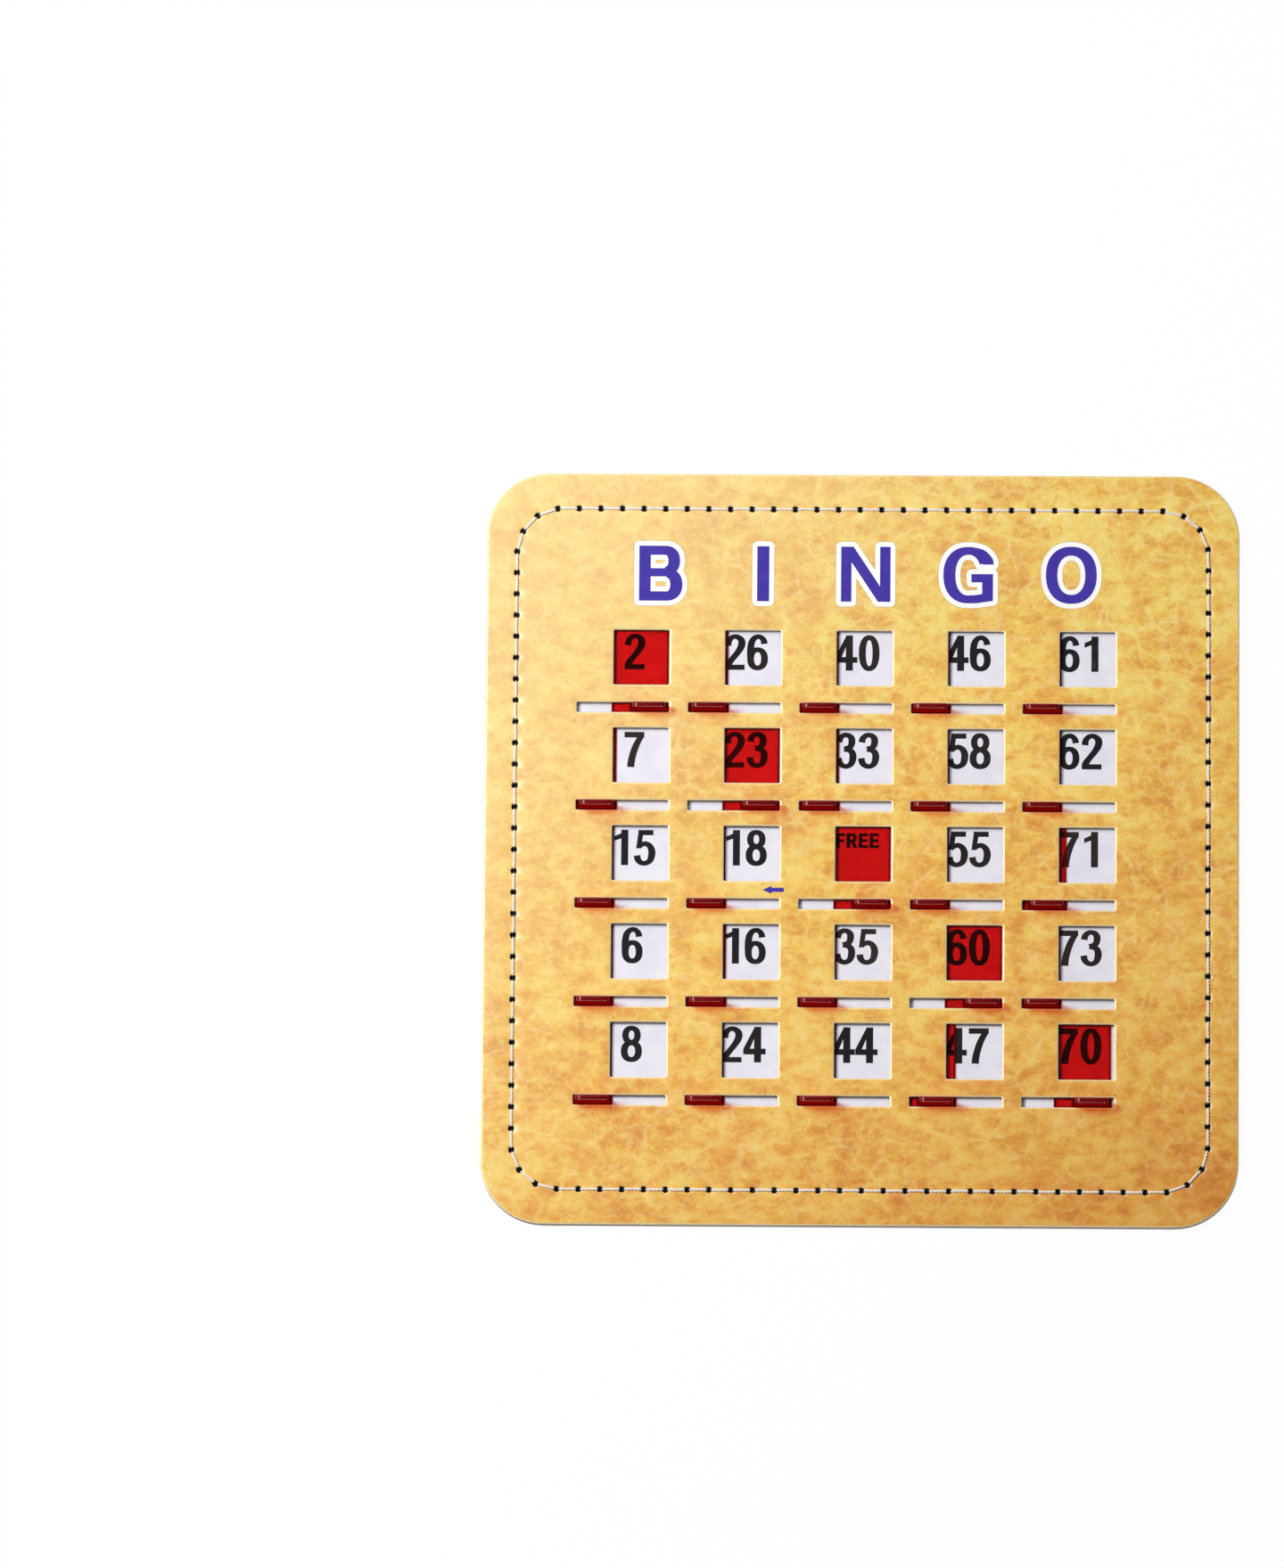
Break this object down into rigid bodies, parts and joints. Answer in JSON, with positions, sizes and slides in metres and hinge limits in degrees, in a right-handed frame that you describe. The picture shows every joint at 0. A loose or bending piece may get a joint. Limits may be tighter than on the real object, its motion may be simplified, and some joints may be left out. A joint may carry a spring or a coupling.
{
  "type": "bingo card",
  "caption": "Stitched board bingo card with number windows and see-through red shutters that slide over the numbers by finger tabs in slots.",
  "frame": {"origin": "centre of the card's back, on the surface that the card lies on", "axes": "+X to the right along the rows, +Y up the card towards the column letters, +Z out of the face"},
  "size_m": [0.2058, 0.2074, 0.0099],
  "materials": {
    "tan_paper": "satin",
    "grey_board": "matte",
    "white_paper": "matte",
    "thread": "matte",
    "shutter_red": "gloss"
  },
  "bodies": {
    "card": {"face_sheet": "tan_paper", "front_board": "grey_board", "shutter_guide": "grey_board", "number_sheet": "white_paper", "backing_board": "grey_board", "back_cover": "grey_board", "needle_thread": "thread", "bobbin_thread": "thread"},
    "shutter_b1": {"shutter_b1": "shutter_red"},
    "shutter_i1": {"shutter_i1": "shutter_red"},
    "shutter_n1": {"shutter_n1": "shutter_red"},
    "shutter_g1": {"shutter_g1": "shutter_red"},
    "shutter_o1": {"shutter_o1": "shutter_red"},
    "shutter_b2": {"shutter_b2": "shutter_red"},
    "shutter_i2": {"shutter_i2": "shutter_red"},
    "shutter_n2": {"shutter_n2": "shutter_red"},
    "shutter_g2": {"shutter_g2": "shutter_red"},
    "shutter_o2": {"shutter_o2": "shutter_red"},
    "shutter_b3": {"shutter_b3": "shutter_red"},
    "shutter_i3": {"shutter_i3": "shutter_red"},
    "shutter_n3": {"shutter_n3": "shutter_red"},
    "shutter_g3": {"shutter_g3": "shutter_red"},
    "shutter_o3": {"shutter_o3": "shutter_red"},
    "shutter_b4": {"shutter_b4": "shutter_red"},
    "shutter_i4": {"shutter_i4": "shutter_red"},
    "shutter_n4": {"shutter_n4": "shutter_red"},
    "shutter_g4": {"shutter_g4": "shutter_red"},
    "shutter_o4": {"shutter_o4": "shutter_red"},
    "shutter_b5": {"shutter_b5": "shutter_red"},
    "shutter_i5": {"shutter_i5": "shutter_red"},
    "shutter_n5": {"shutter_n5": "shutter_red"},
    "shutter_g5": {"shutter_g5": "shutter_red"},
    "shutter_o5": {"shutter_o5": "shutter_red"}
  },
  "joints": [
    {"name": "slide_b1", "type": "slide", "parent": "card", "child": "shutter_b1", "axis": [1, 0, 0], "range_m": [-0.01448, 0]},
    {"name": "slide_i1", "type": "slide", "parent": "card", "child": "shutter_i1", "axis": [1, 0, 0], "range_m": [-0.00029, 0.01419]},
    {"name": "slide_n1", "type": "slide", "parent": "card", "child": "shutter_n1", "axis": [1, 0, 0], "range_m": [0, 0.01448]},
    {"name": "slide_g1", "type": "slide", "parent": "card", "child": "shutter_g1", "axis": [1, 0, 0], "range_m": [0, 0.01448]},
    {"name": "slide_o1", "type": "slide", "parent": "card", "child": "shutter_o1", "axis": [1, 0, 0], "range_m": [0, 0.01448]},
    {"name": "slide_b2", "type": "slide", "parent": "card", "child": "shutter_b2", "axis": [1, 0, 0], "range_m": [-0.00043, 0.01405]},
    {"name": "slide_i2", "type": "slide", "parent": "card", "child": "shutter_i2", "axis": [1, 0, 0], "range_m": [-0.01448, 0]},
    {"name": "slide_n2", "type": "slide", "parent": "card", "child": "shutter_n2", "axis": [1, 0, 0], "range_m": [-0.00029, 0.01419]},
    {"name": "slide_g2", "type": "slide", "parent": "card", "child": "shutter_g2", "axis": [1, 0, 0], "range_m": [0, 0.01448]},
    {"name": "slide_o2", "type": "slide", "parent": "card", "child": "shutter_o2", "axis": [1, 0, 0], "range_m": [0, 0.01448]},
    {"name": "slide_b3", "type": "slide", "parent": "card", "child": "shutter_b3", "axis": [1, 0, 0], "range_m": [0, 0.01448]},
    {"name": "slide_i3", "type": "slide", "parent": "card", "child": "shutter_i3", "axis": [1, 0, 0], "range_m": [0, 0.01448]},
    {"name": "slide_n3", "type": "slide", "parent": "card", "child": "shutter_n3", "axis": [1, 0, 0], "range_m": [-0.01448, 0]},
    {"name": "slide_g3", "type": "slide", "parent": "card", "child": "shutter_g3", "axis": [1, 0, 0], "range_m": [0, 0.01448]},
    {"name": "slide_o3", "type": "slide", "parent": "card", "child": "shutter_o3", "axis": [1, 0, 0], "range_m": [-0.00145, 0.01303]},
    {"name": "slide_b4", "type": "slide", "parent": "card", "child": "shutter_b4", "axis": [1, 0, 0], "range_m": [0, 0.01448]},
    {"name": "slide_i4", "type": "slide", "parent": "card", "child": "shutter_i4", "axis": [1, 0, 0], "range_m": [-0.00029, 0.01419]},
    {"name": "slide_n4", "type": "slide", "parent": "card", "child": "shutter_n4", "axis": [1, 0, 0], "range_m": [0, 0.01448]},
    {"name": "slide_g4", "type": "slide", "parent": "card", "child": "shutter_g4", "axis": [1, 0, 0], "range_m": [-0.01448, 0]},
    {"name": "slide_o4", "type": "slide", "parent": "card", "child": "shutter_o4", "axis": [1, 0, 0], "range_m": [0, 0.01448]},
    {"name": "slide_b5", "type": "slide", "parent": "card", "child": "shutter_b5", "axis": [1, 0, 0], "range_m": [0, 0.01448]},
    {"name": "slide_i5", "type": "slide", "parent": "card", "child": "shutter_i5", "axis": [1, 0, 0], "range_m": [0, 0.01448]},
    {"name": "slide_n5", "type": "slide", "parent": "card", "child": "shutter_n5", "axis": [1, 0, 0], "range_m": [0, 0.01448]},
    {"name": "slide_g5", "type": "slide", "parent": "card", "child": "shutter_g5", "axis": [1, 0, 0], "range_m": [-0.00203, 0.01245]},
    {"name": "slide_o5", "type": "slide", "parent": "card", "child": "shutter_o5", "axis": [1, 0, 0], "range_m": [-0.01376, 0.00072]}
  ]
}
